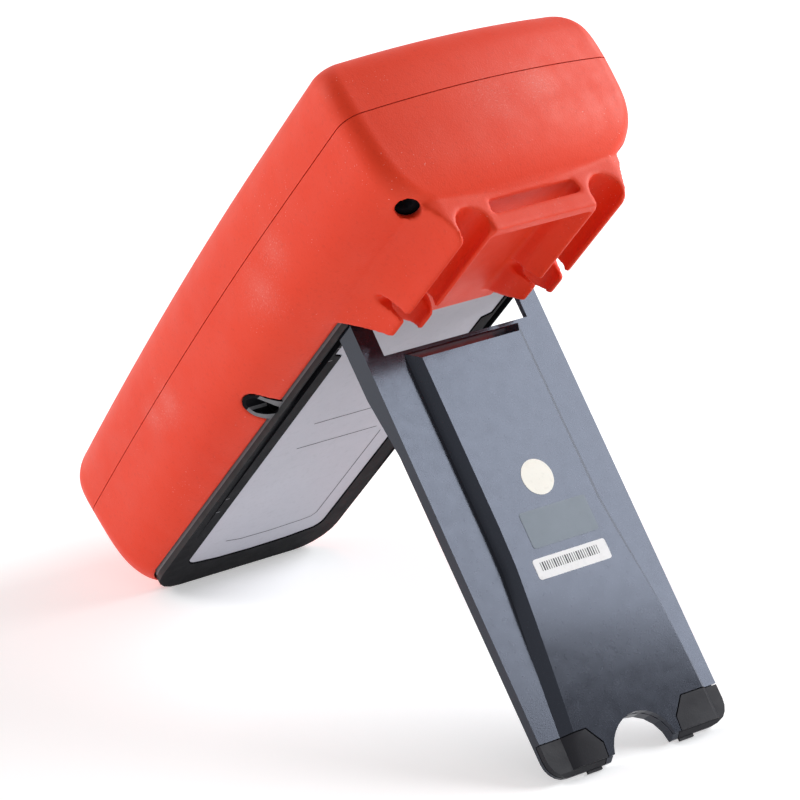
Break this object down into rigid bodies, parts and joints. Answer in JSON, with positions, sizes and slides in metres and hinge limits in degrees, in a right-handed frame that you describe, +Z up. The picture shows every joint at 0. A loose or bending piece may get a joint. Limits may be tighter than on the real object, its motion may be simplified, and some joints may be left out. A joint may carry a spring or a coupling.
{
  "type": "lcr meter",
  "caption": "Handheld component meter in a soft outer shell, leaning on an open tilt stand, with probe holders and a strap bar on its back.",
  "frame": {"origin": "centre of the footprint's bounding box, on the surface the meter stands on", "axes": "+Z up, +X to the right seen from the display side, -Y the way the display side faces"},
  "size_m": [0.0932, 0.2144, 0.1834],
  "materials": {
    "red": "fine grained, matt",
    "black": "glossy",
    "grey": "satin",
    "pad": "matt",
    "clear": "polished",
    "glass": "smooth",
    "board": "solder mask",
    "steel": "plain",
    "brass": "plain",
    "cell": "printed sleeve",
    "key": "satin",
    "power": "satin"
  },
  "bodies": {
    "housing": {"battery_door": "grey", "case_screw_1": "steel", "case_screw_2": "steel", "case_screw_3": "steel", "case_screw_4": "steel", "cell_1": "cell", "cell_2": "cell", "cell_3": "cell", "cell_4": "cell", "cell_5": "cell", "cell_6": "cell", "contact_foot_pair": "steel", "contact_foot_single": "steel", "contact_head_pair": "steel", "contact_head_single": "steel", "dc_jack": "black", "display_window": "clear", "door_screw": "steel", "front_case": "black", "front_overmould": "red", "key_mat": "pad", "lcd_holder": "key", "lcd_module": "glass", "lead_contact_left": "steel", "lead_contact_right": "steel", "main_board": "board", "rear_case": "black", "rear_overmould": "red", "socket_guard": "brass", "socket_minus": "brass", "socket_plus": "brass"},
    "stand": {"tilt_stand": "black", "foot_pad_left": "pad", "foot_pad_right": "pad"},
    "power_key_body": {"power_key": "power"},
    "key_1_body": {"key_1": "key"},
    "key_2_body": {"key_2": "key"},
    "key_3_body": {"key_3": "key"},
    "key_4_body": {"key_4": "key"},
    "key_5_body": {"key_5": "key"},
    "key_6_body": {"key_6": "key"},
    "key_7_body": {"key_7": "key"},
    "key_8_body": {"key_8": "key"}
  },
  "joints": [
    {"name": "stand_hinge", "type": "hinge", "parent": "housing", "child": "stand", "pos_m": [0, 0.01949, 0.10499], "axis": [1, 0, 0], "range_deg": [-80, 0]},
    {"name": "power_key_press", "type": "slide", "parent": "housing", "child": "power_key_body", "axis": [0, 0.7528, -0.6583], "range_m": [0, 0.001], "stiffness_N_per_m": 300, "springref_m": -0.0005},
    {"name": "key_1_press", "type": "slide", "parent": "housing", "child": "key_1_body", "axis": [0, 0.7528, -0.6583], "range_m": [0, 0.001], "stiffness_N_per_m": 300, "springref_m": -0.0005},
    {"name": "key_2_press", "type": "slide", "parent": "housing", "child": "key_2_body", "axis": [0, 0.7528, -0.6583], "range_m": [0, 0.001], "stiffness_N_per_m": 300, "springref_m": -0.0005},
    {"name": "key_3_press", "type": "slide", "parent": "housing", "child": "key_3_body", "axis": [0, 0.7528, -0.6583], "range_m": [0, 0.001], "stiffness_N_per_m": 300, "springref_m": -0.0005},
    {"name": "key_4_press", "type": "slide", "parent": "housing", "child": "key_4_body", "axis": [0, 0.7528, -0.6583], "range_m": [0, 0.001], "stiffness_N_per_m": 300, "springref_m": -0.0005},
    {"name": "key_5_press", "type": "slide", "parent": "housing", "child": "key_5_body", "axis": [0, 0.7528, -0.6583], "range_m": [0, 0.001], "stiffness_N_per_m": 300, "springref_m": -0.0005},
    {"name": "key_6_press", "type": "slide", "parent": "housing", "child": "key_6_body", "axis": [0, 0.7528, -0.6583], "range_m": [0, 0.001], "stiffness_N_per_m": 300, "springref_m": -0.0005},
    {"name": "key_7_press", "type": "slide", "parent": "housing", "child": "key_7_body", "axis": [0, 0.7528, -0.6583], "range_m": [0, 0.001], "stiffness_N_per_m": 300, "springref_m": -0.0005},
    {"name": "key_8_press", "type": "slide", "parent": "housing", "child": "key_8_body", "axis": [0, 0.7528, -0.6583], "range_m": [0, 0.001], "stiffness_N_per_m": 300, "springref_m": -0.0005}
  ]
}
